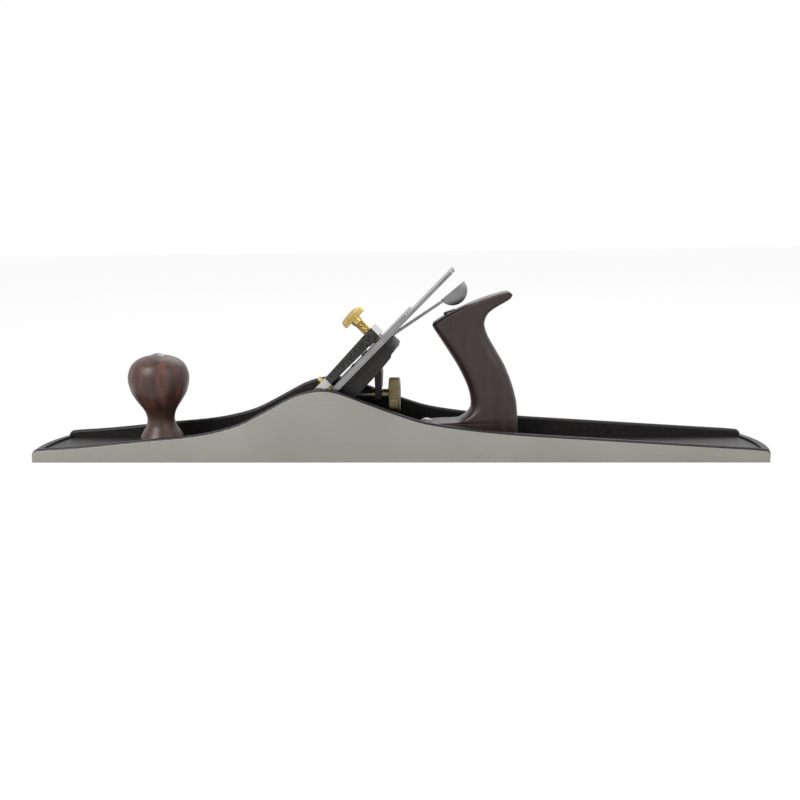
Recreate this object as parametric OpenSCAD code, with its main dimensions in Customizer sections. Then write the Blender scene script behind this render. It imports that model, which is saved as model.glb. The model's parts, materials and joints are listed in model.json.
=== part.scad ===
// Metal jointer plane, 22 inches long, with a screw-down lever cap.
// X runs from the toe to the heel, Y across and Z up. The origin lies under the middle of the sole.
// Parts of the cutter stand on the bed: there X runs up the bed and Z stands off it, towards the toe.

/* [Body] */
// Length of the sole along its middle
body_l = 559; // [540:1:575]
// Width of the sole
body_w = 73; // [72:0.5:76]
// How far the toe and the heel bulge past their corners
end_bulge = 7; // [4:0.5:10]
// Thickness of the side walls
wall_t = 4.5; // [3.5:0.25:5]
// Thickness of the sole inside the rims
sole_t = 4.4; // [4:0.2:5]
// Height of the low rim at toe and heel
rim_z = 5.8; // [5.2:0.2:7]
// Height of the rounded cast edge over the ground side
edge_h = 1.5; // [1:0.1:2]

/* [Bed] */
// Angle of the bed
bed_angle = 45; // [45]
// Where the bed plane meets the sole
bed_x = -92.9; // [-94:0.1:-92]
// Front edge of the mouth
mouth_x = -98.4; // [-101:0.1:-98]
// Gap between the blade and the bed
bed_gap = 0.05; // [0:0.01:0.1]

/* [Cutter] */
// Width of the blade
blade_w = 60.3; // [58:0.1:60.4]
// Thickness of the blade
blade_t = 2.4; // [2:0.1:3]
// Height of the cutting edge over the sole
edge_z = 0.3; // [0.1:0.1:0.6]
// Top end of the blade, up the bed
blade_top = 196.6; // [190:0.2:200]
// Width of the long slot in the blade
slot_w = 11.1; // [11:0.1:11.4]
// Thickness of the cap iron
cap_t = 2; // [1.6:0.1:2.2]
// Top end of the cap iron, up the bed
cap_top = 151.4; // [145:0.2:155]
// Height of the hump of the cap iron over the bed
hump_n = 8.3; // [7:0.1:8.4]
// Place of the cap iron screw, up the bed
cap_screw_s = 104; // [103:0.2:105]

/* [Lever cap] */
// Widest part of the lever cap
lever_cap_w = 58; // [54:0.5:60]
// Width of its square top end
lever_cap_top_w = 33; // [28:0.5:36]
// Top end of the lever cap, up the bed
lever_cap_top = 124; // [122:0.2:126]
// Place of the lever cap screw, up the bed
cap_pivot_s = 64.2; // [63.5:0.1:65]
// Place of the thumb screw, up the bed
thumb_s = 117.4; // [116.5:0.1:118]
// Diameter of the head of the thumb screw
thumb_d = 19.4; // [18:0.1:22]

/* [Adjusters] */
// Diameter of the depth nut
depth_nut_d = 26.2; // [24:0.1:27]
// Width of its rim
depth_nut_w = 8.2; // [7:0.1:9]
// Height of the stud over the sole
stud_z = 44.8; // [44.5:0.1:45.2]
// Diameter of the roller at the foot of the lateral lever
roller_d = 10.9; // [10.5:0.1:11]
// Distance from the pivot of the lateral lever to its roller
lateral_arm = 6.5; // [6:0.1:7]
// How far the lateral lever leans back from the blade
lateral_bend = 11.65; // [10:0.1:13]
// Radius of the half-round tab
tab_r = 11.25; // [10:0.25:12]

/* [Knob and tote] */
// Place of the knob
knob_x = -183.65; // [-190:0.5:-180]
// Largest diameter of the knob
knob_d = 46.4; // [44:0.2:48]
// Top of the wooden knob
knob_top = 76.1; // [74:0.2:78]
// Thickness of the tote
tote_t = 24; // [22:0.5:26]
// Top of the pad under the tote
tote_pad_z = 9; // [8.5:0.1:9.5]

/* [Hidden] */

$fn = 64;
root2 = sqrt(2);
run_gap = 0.05;             // radial clearance of shafts and screws in their holes
half_w = body_w / 2;
inner_w = half_w - wall_t;
end_r = (half_w * half_w + end_bulge * end_bulge) / (2 * end_bulge);

// Upper arris of the ground side, from toe to heel
arris = [[-272.5, 8.5], [-236, 10.7], [-187, 15.5], [-157, 18.1], [-136, 21.3], [-115, 27.1],
    [-96, 36.4], [-76, 47], [-62, 51.6], [-49, 52.9], [-37, 50.4], [-20, 43.8], [7, 33.9],
    [26, 28.2], [55, 23.7], [91, 20], [150, 16.1], [221, 11.5], [272.5, 8.3]];

// Sections of the tote from its base to the tip of the horn: front X and Z, back X and Z, and how
// far the edges are rounded there
toe_screw_x = 24;
tote_sections = [[15.2, 9, 93.3, 9, 2], [14.6, 15, 93.5, 15, 3], [17, 21, 93.5, 20, 4],
    [24, 23.8, 93.5, 24, 5], [44.3, 24.7, 93.4, 27.5, 6], [52, 28.2, 93.2, 31.5, 8],
    [56.6, 33, 93, 35.5, 9.5], [58, 38, 92.6, 39.5, 10.5], [56.8, 47, 90.9, 47, 10.5],
    [53.7, 55.7, 87.9, 56.5, 10.5], [48.3, 66.7, 83.1, 68, 10.5], [42.1, 76.9, 76.8, 79, 10.5],
    [35.2, 87.8, 70.8, 89.8, 9], [30.5, 95.3, 68.3, 97.5, 7], [29.3, 99, 68.6, 102, 5.5],
    [33, 102, 70.5, 106, 5.5], [42, 107.2, 74, 109.4, 5], [54, 112.9, 79, 112.6, 4.5],
    [66, 117.6, 83.6, 115.2, 4], [77, 121, 86.8, 117.4, 3], [84, 122.6, 88.2, 119.4, 2],
    [86.8, 122.5, 88.6, 120.6, 1.2]];

// Rod of the tote, which leans from the middle of the pad to the nut on top
tote_bolt_foot = [74.4, 9];
tote_bolt_lean = 17.8;
tote_bolt_l = 104.6;

// Seat of the frog in the body
seat_z = 16;
seat_front = -70;
seat_rear = -36;
seat_half_w = 23;
pad_z = 7;
frog_screw_x = -56;
frog_screw_y = 12.5;
adjust_z = 10.8;

// Frog, in the frame of the body
frog_rear = -30;
frog_toe = -71.8;
foot_top = 22;
frog_half_w = 25;
rib_t = 6;
pin_x = -13.7;
pin_z = 66.8;
pin_d = 4.5;
stud_d = 5.6;

// Frog, in the frame of the bed
plate_n = -4.5;
rib_n = -12.6;
frog_top = 129.2;
frog_top_r = 60;
block_s = 114.5;
lateral_s = 123.8;
roller_s = lateral_s - lateral_arm;
lever_t = 2;
lever_n = -0.1;
strip_half_w = 4.5;

// Nut and yoke
groove_x = -12.2;
groove_w = 5.4;
wheel_x = -4.3;
hub_d = 8.7;
hub_core_d = 6.4;
finger_s = 90.6;
finger_n = 3.2;

// Cutter
edge_s = edge_z * root2 - blade_t;
bevel_angle = 25;
cap_n = blade_t + cap_t;
hump_s = 10;
cap_edge_s = edge_s + 1.6;

// Lever cap
front_low_n = 13.3;
front_top_n = 15;
under_n = 6.1;
web_n = 10.2;
field_n = 10.5;
keyhole_s = 52;

// Frame of the bed
module on_bed() {
    translate([bed_x, 0, 0])
        rotate([0, -bed_angle, 0])
            children();
}

// Outline in X and Z, extruded across Y
module across(y0, y1) {
    translate([0, y1, 0])
        rotate([90, 0, 0])
            linear_extrude(y1 - y0)
                children();
}

// Outline in X and Y, extruded from one height to another
module rise(z0, z1) {
    translate([0, 0, z0])
        linear_extrude(z1 - z0)
            children();
}

// Round bar along X
module bar_x(x0, x1, d, y = 0, z = 0) {
    translate([x0, y, z])
        rotate([0, 90, 0])
            cylinder(h = x1 - x0, d = d);
}

// Round bar along Y
module bar_y(y0, y1, d, x = 0, z = 0) {
    translate([x, y1, z])
        rotate([90, 0, 0])
            cylinder(h = y1 - y0, d = d);
}

// Round bar along Z
module bar_z(z0, z1, d, x = 0, y = 0) {
    translate([x, y, z0])
        cylinder(h = z1 - z0, d = d);
}

// Slot with round ends, along X
module slot(x0, x1, w) {
    translate([x0, -w / 2])
        square([x1 - x0, w]);
    translate([x0, 0])
        circle(d = w);
    translate([x1, 0])
        circle(d = w);
}

// Smooth curve through points
function curve_point(a, b, c, d, t) =
    0.5 * (2 * b + (c - a) * t + (2 * a - 5 * b + 4 * c - d) * t * t
        + (3 * b - a - 3 * c + d) * t * t * t);
function curve(p, steps) = concat(
    [for (i = [0 : len(p) - 2], k = [0 : steps - 1])
        curve_point(p[max(i - 1, 0)], p[i], p[i + 1], p[min(i + 2, len(p) - 1)], k / steps)],
    [p[len(p) - 1]]);

// Unit normal on the left of an open curve at point i
function normal_at(p, i) =
    let (d = p[min(i + 1, len(p) - 1)] - p[max(i - 1, 0)])
    [-d[1], d[0]] / norm(d);

// Closed skin over rings of equal length, with flat ends
module loft(rings) {
    n = len(rings[0]);
    m = len(rings);
    sides = [for (j = [0 : m - 2], i = [0 : n - 1], k = [0, 1])
        let (a = j * n + i, b = j * n + (i + 1) % n)
        k == 0 ? [a, b, b + n] : [a, b + n, a + n]];
    ends = [[for (i = [n - 1 : -1 : 0]) i], [for (i = [0 : n - 1]) (m - 1) * n + i]];
    polyhedron(points = [for (r = rings, p = r) p], faces = concat(sides, ends));
}

// Sole seen from above, drawn in from the ends by inset
module sole_outline(w, inset) {
    x = body_l / 2 - end_r;
    intersection() {
        square([body_l, 2 * w], center = true);
        union() {
            square([2 * x, 2 * w], center = true);
            for (side = [-x, x])
                translate([side, 0])
                    circle(r = end_r - inset, $fn = 200);
        }
    }
}

// One side wall: ground outside, with a rounded cast edge on top and round corners at its ends
module side_wall() {
    corner_r = 4;
    line = curve(arris, 3);
    last = arris[len(arris) - 1][0];
    ends = [for (a = [0 : 22.5 : 67.5]) [corner_r * sin(a), corner_r * (1 - cos(a))]];
    low = [for (i = [len(ends) - 1 : -1 : 0]) [-last + corner_r - ends[i][0], arris[0][1] - ends[i][1]]];
    high = [for (e = ends) [last - corner_r + e[0], arris[len(arris) - 1][1] - e[1]]];
    middle = [for (p = line) if (abs(p[0]) < last - corner_r - 1) p];
    stations = concat(low, middle, high);
    loft([for (p = stations) let (x = p[0], z = p[1]) [
        [x, inner_w, z - 0.2],
        [x, inner_w + 0.4, z + 0.6 * edge_h],
        [x, inner_w + 1.4, z + edge_h],
        [x, half_w - 1.5, z + edge_h],
        [x, half_w - 0.5, z + 0.6 * edge_h],
        [x, half_w, z],
        [x, half_w, sole_t / 2],
        [x, inner_w, sole_t / 2]]]);
}

module plane_body() {
    color("dimgray")
        difference() {
            union() {
                rise(0, sole_t)
                    sole_outline(half_w, 0);
                difference() {
                    rise(0, rim_z)
                        sole_outline(half_w, 0);
                    rise(-1, rim_z + 1)
                        sole_outline(inner_w, 5);
                }
                side_wall();
                mirror([0, 1, 0])
                    side_wall();
                // Pad behind the mouth and seat of the frog
                translate([-91, -inner_w, 1])
                    cube([seat_front + 91, 2 * inner_w, pad_z - 1]);
                translate([seat_front, -seat_half_w, 1])
                    cube([seat_rear - seat_front, 2 * seat_half_w, seat_z - 1]);
                // Boss of the knob and pad of the tote
                translate([knob_x, 0, 1])
                    cylinder(h = 8.4, d1 = 37, d2 = 33);
                rise(1, tote_pad_z)
                    slot(26, 82, 25);
            }
            // Mouth
            across(-inner_w, inner_w)
                polygon([[mouth_x, -1], [mouth_x, 2.5], [mouth_x - 6, 9], [-82.2, 9], [-92.2, -1]]);
            // Threaded holes
            bar_z(3, 12, 6.1, knob_x);
            for (y = [-frog_screw_y, frog_screw_y])
                bar_z(5, seat_z + 1, 6.1, frog_screw_x, y);
            bar_x(seat_rear - 25, seat_rear + 1, 5.1, 0, adjust_z);
            tote_bolt_bar(3.2, 5.1);
            bar_z(3, 12, 4.6, toe_screw_x);
        }
}

module front_knob() {
    r = knob_d / 2;
    // Half outline from the base up: flared foot, neck, ball and flattened top
    side = curve([[15.6, 9.4], [16.5, 12.2], [14.6, 16], [11.6, 21], [10.45, 27], [12.2, 33.5],
        [16.8, 40.5], [21, 48], [r, 58.5], [21, 67.5], [16, 72.9], [10, 75.5], [6.5, knob_top]], 5);
    color([0.27, 0.2, 0.18])
        translate([knob_x, 0, 0])
            difference() {
                rotate_extrude($fn = 96)
                    polygon(concat([[0, 9.4]], side, [[0, knob_top]]));
                bar_z(0, knob_top + 1, 6.4);
                bar_z(62, knob_top + 1, 8.2);
                bar_z(knob_top - 1.2, knob_top + 1, 10.8);
            }
}

module knob_bolt() {
    color("silver")
        bar_z(3.2, 74, 6, knob_x);
}

module knob_nut() {
    dome_r = 8.2;
    color("gray")
        translate([knob_x, 0, 0])
            difference() {
                union() {
                    bar_z(62.5, knob_top - 1, 8);
                    bar_z(knob_top - 1.2, knob_top, 10.5);
                    intersection() {
                        translate([0, 0, knob_top + 1.9 - dome_r])
                            sphere(r = dome_r, $fn = 96);
                        bar_z(knob_top - 0.5, knob_top + 3, 10.5);
                    }
                }
                bar_z(60, 74.5, 6.1);
                translate([-8, -0.6, knob_top + 0.6])
                    cube([16, 1.2, 3]);
            }
}

module tote_solid() {
    h = tote_t / 2;
    corners = [[1, 1], [1, -1], [-1, -1], [-1, 1]];
    loft([for (v = curve(tote_sections, 2))
        let (front = [v[0], v[1]], back = [v[2], v[3]], r = v[4],
            middle = (front + back) / 2, half = norm(back - front) / 2, u = (back - front) / (2 * half))
        [for (k = [0 : 3], t = [90 : -22.5 : 0])
            let (along = corners[k][0] * (half - r) + r * cos(t - 90 * k),
                y = corners[k][1] * (h - r) + r * sin(t - 90 * k),
                p = middle + u * along)
            [p[0], y, p[1]]]]);
}

// Rod of the tote, drawn between its foot and its nut
module tote_bolt_bar(from, d) {
    translate([tote_bolt_foot[0], 0, tote_bolt_foot[1]])
        rotate([0, -tote_bolt_lean, 0])
            bar_z(-6 + from - 3.2, 92, d);
}
module at_tote_nut() {
    translate([tote_bolt_foot[0], 0, tote_bolt_foot[1]])
        rotate([0, -tote_bolt_lean, 0])
            translate([0, 0, tote_bolt_l])
                children();
}

module tote() {
    color([0.27, 0.2, 0.18])
        difference() {
            tote_solid();
            tote_bolt_bar(3.2, 5.4);
            at_tote_nut() {
                bar_z(-16, 10, 7.4);
                bar_z(-2.6, 10, 11.2);
            }
            bar_z(0, 40, 4.8, toe_screw_x);
            bar_z(23, 40, 10.6, toe_screw_x);
        }
}

module tote_bolt() {
    color("silver")
        tote_bolt_bar(3.4, 5);
}

module tote_nut() {
    color("gray")
        at_tote_nut()
            difference() {
                union() {
                    bar_z(-15.5, -2.5, 7.2);
                    bar_z(-2.5, -0.6, 11);
                    translate([0, 0, -0.6])
                        cylinder(h = 0.9, d1 = 11, d2 = 9);
                }
                bar_z(-17, -12, 5.1);
                translate([-8, -0.6, -0.6])
                    cube([16, 1.2, 3]);
            }
}

module tote_toe_screw() {
    dome_r = 6.4;
    color("gray")
        translate([toe_screw_x, 0, 0])
            difference() {
                union() {
                    bar_z(3.4, 24, 4.4);
                    intersection() {
                        translate([0, 0, 26.6 - dome_r])
                            sphere(r = dome_r, $fn = 96);
                        bar_z(23, 30, 10.2);
                    }
                }
                translate([-8, -0.6, 25.4])
                    cube([16, 1.2, 3]);
            }
}

// Frog seen from the side: plate and ribs, from the seat up to the arched top end
module frog_bed_side() {
    foot_s = seat_z * root2;
    polygon([[foot_s + bed_gap, -bed_gap], [132, -bed_gap], [132, -8.3], [125.5, -9.1],
        [120.5, -9.7], [118.4, -11], [108, -11.9], [98, -12.5], [foot_s - rib_n, rib_n]]);
}

// Frog seen from the front, square at the foot and arched at the top
module frog_bed_front() {
    intersection() {
        translate([0, -frog_half_w])
            square([140, 2 * frog_half_w]);
        translate([frog_top - frog_top_r, 0])
            circle(r = frog_top_r, $fn = 200);
    }
    translate([0, -frog_half_w])
        square([100, 2 * frog_half_w]);
}

module frog() {
    inside = frog_half_w - rib_t;
    color([0.14, 0.13, 0.13])
        difference() {
            union() {
                on_bed() {
                    // Plate, ribs and the block at the top
                    difference() {
                        intersection() {
                            across(-frog_half_w, frog_half_w)
                                frog_bed_side();
                            rise(-20, 1)
                                frog_bed_front();
                        }
                        translate([10, -inside, -20])
                            cube([block_s - 10, 2 * inside, 20 + plate_n]);
                        translate([block_s - 1, -inside, -20])
                            cube([30, 2 * inside, 20 - 8.8]);
                    }
                    // Boss of the lever cap screw
                    bar_z(-14, -bed_gap, 15, cap_pivot_s);
                }
                // Toe behind the mouth, foot and side webs
                across(-frog_half_w, frog_half_w) {
                    polygon([[pad_z + bed_x + 0.1, pad_z], [frog_toe, pad_z],
                        [frog_toe, frog_toe - bed_x - 0.1]]);
                    polygon([[frog_toe - 2, seat_z], [frog_rear, seat_z], [frog_rear, foot_top],
                        [foot_top + bed_x + 4, foot_top], [frog_toe - 2, 18]]);
                }
                for (y = [-frog_half_w, inside])
                    across(y, y + rib_t)
                        polygon([[frog_toe, seat_z], [frog_rear, seat_z], [frog_rear, 45.1], [-38, 46]]);
                // Rear wall and boss of the stud
                across(-inside - 1, inside + 1)
                    polygon([[-36, 20], [frog_rear, 20], [frog_rear, 52], [-36, 52]]);
                bar_x(-38, -29, 13, 0, stud_z);
            }
            on_bed() {
                // Hole of the lever cap screw
                bar_z(-15, 1, 7.6 + 2 * run_gap, cap_pivot_s);
                // Openings for the yoke finger and for the head of the cap iron screw
                translate([82, -4.8, -14])
                    cube([20, 9.6, 15]);
                translate([94, -8, -14])
                    cube([block_s - 94, 16, 15]);
                // Recess and pivot hole of the lateral lever
                translate([block_s - 2.5, -6.6, -2.3])
                    cube([30, 13.2, 4]);
                bar_z(-12, 1, 4.5, lateral_s);
            }
            // Windows over the frog screws and slots under them, as long as the frog travels
            for (y = [-frog_screw_y, frog_screw_y])
                translate([frog_screw_x, y, 0]) {
                    rise(foot_top, 60)
                        slot(-1.9, 1.9, 12.6);
                    rise(seat_z - 1, foot_top + 1)
                        slot(-1.9, 1.9, 6.8);
                }
            bar_x(-37.5, -20, stud_d + 2 * run_gap, 0, stud_z);
            bar_y(-30, 30, pin_d + 0.1, pin_x, pin_z);
            bar_x(-42, -20, 4.1, 0, 19.4);
        }
}

module frog_screws() {
    color("silver")
        for (y = [-frog_screw_y, frog_screw_y])
            translate([frog_screw_x, y, 0])
                difference() {
                    union() {
                        bar_z(5.4, 24, 6);
                        bar_z(foot_top + 1.2, foot_top + 5, 10.4);
                    }
                    translate([-8, -0.6, foot_top + 3.4])
                        cube([16, 1.2, 4]);
                }
}

module frog_washers() {
    color("gray")
        for (y = [-frog_screw_y, frog_screw_y])
            difference() {
                bar_z(foot_top, foot_top + 1.2, 12, frog_screw_x, y);
                bar_z(foot_top - 1, foot_top + 3, 6.1, frog_screw_x, y);
            }
}

module frog_adjust_screw() {
    color("silver")
        difference() {
            union() {
                bar_x(-58, -24, 5, 0, adjust_z);
                bar_x(-32.2, frog_rear - 0.1, 9, 0, adjust_z);
                bar_x(frog_rear + 2.1, -23, 9, 0, adjust_z);
            }
            translate([-24.4, -0.6, adjust_z - 8])
                cube([3, 1.2, 16]);
        }
}

module frog_clip() {
    color("dimgray")
        translate([frog_rear, 0, 0])
            difference() {
                translate([0, -8, 6.4])
                    cube([2, 16, 17.6]);
                translate([-1, -2.6, 0])
                    cube([4, 5.2, adjust_z]);
                bar_x(-1, 3, 5.2, 0, adjust_z);
                bar_x(-1, 3, 4.1, 0, 19.4);
            }
}

module frog_clip_screw() {
    color("silver")
        difference() {
            union() {
                bar_x(-40, -27, 4, 0, 19.4);
                bar_x(frog_rear + 2, -25.6, 7.4, 0, 19.4);
            }
            translate([-26.6, -0.5, 10])
                cube([3, 1, 20]);
        }
}

// Yoke: round eye on the pin, finger up through the frog, and a fork on the nut
module yoke() {
    pin_s = (pin_x - bed_x + pin_z) / root2;
    pin_n = (bed_x - pin_x + pin_z) / root2;
    fork_in = hub_core_d / 2 + 0.1;
    fork_out = 8.3;
    color([0.14, 0.13, 0.13])
        difference() {
            union() {
                bar_y(-12, 12, 7.6, pin_x, pin_z);
                on_bed() {
                    across(-4.2, 4.2)
                        polygon([[pin_s, pin_n - 3.6], [pin_s, pin_n + 3.2], [94.4, -6.6],
                            [finger_s + 2, -4.6], [finger_s + 1.8, finger_n], [finger_s - 1.8, finger_n],
                            [finger_s - 2.2, -8], [finger_s + 0.6, -11.2]]);
                    bar_y(-4.2, 4.2, 4, finger_s, finger_n);
                }
                across(-fork_out, fork_out)
                    polygon([[pin_x - 1.2, pin_z], [pin_x + 3.6, pin_z + 1], [-9.2, 62], [-9.7, 51],
                        [groove_x + 1.9, 49], [groove_x + 1.9, stud_z], [groove_x - 1.9, stud_z],
                        [groove_x - 1.9, 49], [-14.6, 51], [-14.9, 62]]);
                bar_y(-fork_out, fork_out, groove_w - 0.3, groove_x, stud_z);
            }
            // Gap of the fork
            translate([groove_x - 5, -fork_in, stud_z - 6])
                cube([10, 2 * fork_in, 10.5]);
            bar_x(groove_x - 5, groove_x + 5, 2 * fork_in, 0, stud_z + 4.5);
            bar_y(-20, 20, pin_d + 2 * run_gap, pin_x, pin_z);
        }
}

module yoke_pin() {
    color("gray")
        bar_y(-frog_half_w, frog_half_w, pin_d, pin_x, pin_z);
}

module depth_stud() {
    color("silver")
        bar_x(-37.4, -1, stud_d, 0, stud_z);
}

module depth_nut() {
    r = depth_nut_d / 2;
    w = depth_nut_w;
    g0 = groove_x - groove_w / 2;
    g1 = groove_x + groove_w / 2;
    color([0.62, 0.55, 0.38])
        translate([0, 0, stud_z])
            rotate([0, 90, 0])
                difference() {
                    union() {
                        rotate_extrude($fn = 96)
                            polygon([[0, wheel_x], [r - 0.8, wheel_x], [r, wheel_x + 0.8],
                                [r, wheel_x + w - 0.8], [r - 0.8, wheel_x + w], [9, wheel_x + w],
                                [8, wheel_x + w - 0.8], [0, wheel_x + w - 0.8]]);
                        bar_z(g1, wheel_x + 1, hub_d);
                        bar_z(g0 - 1, g1 + 1, hub_core_d);
                        bar_z(g0 - 3, g0, hub_d);
                    }
                    bar_z(g0 - 4, wheel_x + w - 1.2, stud_d + 2 * run_gap);
                }
}

// Lateral lever: strip in the frog, bent back behind the blade, with a dished half-round tab
module lateral_lever() {
    bend_s = 131;
    reach = 42.5;
    tab_s = 184.5;
    tab_n = -9.5;
    dish = 2.4;
    dish_r = (tab_r * tab_r + dish * dish) / (2 * dish);
    tab_t = 1.6;
    tab_tilt = 5.9;
    c = cos(lateral_bend);
    d = sin(lateral_bend);
    color([0.5, 0.5, 0.5])
        on_bed() {
            difference() {
                intersection() {
                    across(-strip_half_w, strip_half_w)
                        polygon([[roller_s - 4, lever_n], [bend_s, lever_n],
                            [bend_s + reach * c, lever_n - reach * d],
                            [bend_s + (reach + 3) * c - lever_t * d,
                                lever_n - (reach + 3) * d - lever_t * c],
                            [bend_s - 0.2, lever_n - lever_t], [roller_s - 4, lever_n - lever_t]]);
                    rise(-20, 1)
                        union() {
                            translate([roller_s, 0])
                                circle(r = 3.6);
                            polygon([[roller_s, -3.6], [lateral_s, -strip_half_w], [bend_s, -strip_half_w],
                                [168, -3], [180, -0.9], [180, 0.9], [168, 3], [bend_s, strip_half_w],
                                [lateral_s, strip_half_w], [roller_s, 3.6]]);
                        }
                }
                bar_z(-5, 1, 4.4 + 2 * run_gap, lateral_s);
                bar_z(lever_n - 0.8, 1, 6.6, lateral_s);
                bar_z(-5, 1, 3.4, roller_s);
            }
            // Tab
            translate([tab_s, 0, tab_n])
                rotate([0, tab_tilt, 0])
                    intersection() {
                        difference() {
                            translate([0, dish_r - dish, 0])
                                sphere(r = dish_r + tab_t / 2, $fn = 128);
                            translate([0, dish_r - dish, 0])
                                sphere(r = dish_r - tab_t / 2, $fn = 128);
                        }
                        bar_y(-8, 8, 2 * tab_r);
                        translate([-20, -8, -20])
                            cube([40, 16, 20]);
                    }
        }
}

module lateral_rivet() {
    color("silver")
        on_bed() {
            bar_z(-8, lever_n - 0.1, 4.4, lateral_s);
            bar_z(lever_n - 0.7, lever_n - 0.05, 6.4, lateral_s);
            bar_z(-10, -8.8, 7, lateral_s);
            bar_z(-9, -7, 4.4, lateral_s);
        }
}

module lateral_roller() {
    color("silver")
        on_bed()
            difference() {
                bar_z(0, 2.2, roller_d, roller_s);
                bar_z(-1, 3, 3.4 + 2 * run_gap, roller_s);
                bar_z(1.5, 3, 5.1, roller_s);
            }
}

module roller_rivet() {
    color("gray")
        on_bed() {
            bar_z(lever_n - lever_t, 1.7, 3.4, roller_s);
            bar_z(1.55, 2.15, 4.9, roller_s);
        }
}

module blade() {
    bevel_l = blade_t / tan(bevel_angle);
    color([0.56, 0.56, 0.56])
        on_bed()
            difference() {
                intersection() {
                    across(-blade_w / 2, blade_w / 2)
                        polygon([[edge_s, blade_t], [edge_s + bevel_l, 0], [blade_top, 0], [blade_top, blade_t]]);
                    rise(-1, blade_t + 1)
                        hull() {
                            translate([edge_s, -blade_w / 2])
                                square([20, blade_w]);
                            for (y = [4 - blade_w / 2, blade_w / 2 - 4])
                                translate([blade_top - 4, y])
                                    circle(r = 4);
                        }
                }
                rise(-1, blade_t + 1) {
                    translate([keyhole_s, 0])
                        circle(d = 17);
                    slot(keyhole_s, 121.4, slot_w);
                }
            }
}

// Cap iron from the side: flat, then a hump that comes down on the blade behind its edge
module cap_iron() {
    h = cap_t / 2;
    middle = curve([[30, blade_t + h], [26, blade_t + h], [19, blade_t + h + 1.5],
        [hump_s + 2, hump_n - h - 0.15], [hump_s - 1, hump_n - h - 0.2], [hump_s - 5, hump_n - h - 1.9],
        [cap_edge_s + 1.6, blade_t + 1.5]], 5);
    upper = [for (i = [0 : len(middle) - 1]) middle[i] - normal_at(middle, i) * h];
    lower = [for (i = [len(middle) - 1 : -1 : 0]) middle[i] + normal_at(middle, i) * h];
    color([0.45, 0.45, 0.45])
        on_bed()
            difference() {
                intersection() {
                    across(-blade_w / 2, blade_w / 2)
                        polygon(concat([[cap_top, blade_t], [cap_top, cap_n]],
                            [for (p = upper) [p[0], min(p[1], hump_n)]], [[cap_edge_s, blade_t]],
                            [for (p = lower) [p[0], max(p[1], blade_t)]]));
                    rise(-1, 20)
                        hull() {
                            translate([cap_edge_s, -blade_w / 2])
                                square([20, blade_w]);
                            for (y = [3 - blade_w / 2, blade_w / 2 - 3])
                                translate([cap_top - 3, y])
                                    circle(r = 3);
                        }
                }
                // Slots of the lever cap screw and the yoke finger, and the threaded hole
                rise(0, 20) {
                    slot(58, 70, 10.5);
                    translate([finger_s - 2.5, -5.1])
                        square([5, 10.2]);
                }
                bar_z(0, 20, 7.9, cap_screw_s);
            }
}

module cap_iron_screw() {
    color("gray")
        on_bed()
            difference() {
                union() {
                    bar_z(-3.5, 0, 12, cap_screw_s);
                    bar_z(-1, cap_n, 7.8, cap_screw_s);
                    bar_z(cap_n, 5.6, 6, cap_screw_s);
                }
                translate([cap_screw_s - 8, -0.7, -5])
                    cube([16, 1.4, 2.8]);
            }
}

// Half width of the lever cap at a place up the bed: parallel below, drawn in towards the top
function lever_cap_half(s) =
    let (a = lever_cap_w / 2, b = lever_cap_top_w / 2, t = min(max((s - 64) / 46, 0), 1))
    a + (b - a) * (1 - cos(180 * t)) / 2;

// Lever cap from the front, drawn in all round by inset
module lever_cap_front(s0, s1, inset) {
    side = [for (i = [0 : 16]) let (s = s0 + (s1 - s0) * i / 16) [s, lever_cap_half(s) - inset]];
    polygon(concat(side, [for (i = [16 : -1 : 0]) [side[i][0], -side[i][1]]]));
}

module lever_cap() {
    lip_s = 9.2;
    lip_n = hump_n + 0.35;
    top = lever_cap_top;
    color([0.3, 0.3, 0.3])
        on_bed()
            difference() {
                union() {
                    intersection() {
                        across(-lever_cap_w / 2, lever_cap_w / 2)
                            polygon([[lip_s, lip_n], [lip_s + 0.6, lip_n + 1], [14, 11.2], [21, 12.4],
                                [32, 12.8], [74, front_low_n], [top - 1, front_top_n],
                                [top, front_top_n - 0.8], [top, under_n + 0.6], [top - 0.6, under_n],
                                [104, under_n], [74, 6.9], [40, 7], [20, 8], [13, lip_n]]);
                        rise(0, 20)
                            union() {
                                translate([lip_s - 1, -lever_cap_w / 2])
                                    square([55, lever_cap_w]);
                                lever_cap_front(lip_s + 54, top + 1, 0);
                            }
                    }
                    // Boss of the thumb screw
                    intersection() {
                        bar_z(5.3, 14, 14, thumb_s);
                        rise(0, 20)
                            translate([0, -20])
                                square([top, 40]);
                    }
                }
                // Hollow under the upper half, round the boss
                difference() {
                    rise(0, web_n)
                        lever_cap_front(75, top - 3.5, 4);
                    bar_z(0, 20, 14, thumb_s);
                }
                rise(0, web_n)
                    translate([19, -22])
                        square([19, 44]);
                // Keyhole and the recessed field around it
                rise(0, 20) {
                    translate([keyhole_s, 0])
                        circle(d = 16);
                    slot(keyhole_s, cap_pivot_s, 8.4);
                }
                rise(field_n, 20)
                    slot(keyhole_s, cap_pivot_s + 0.4, 17);
                bar_z(0, 20, 8 + 2 * run_gap, thumb_s);
            }
}

module lever_cap_screw() {
    color([0.8, 0.66, 0.36])
        on_bed()
            difference() {
                union() {
                    bar_z(-12.5, field_n + 1, 7.6, cap_pivot_s);
                    bar_z(field_n + 0.05, field_n + 2.3, 13.5, cap_pivot_s);
                    bar_z(field_n + 2, 16.9, 5, cap_pivot_s);
                }
                translate([cap_pivot_s - 4, -0.6, 15.4])
                    cube([8, 1.2, 4]);
            }
}

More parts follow.
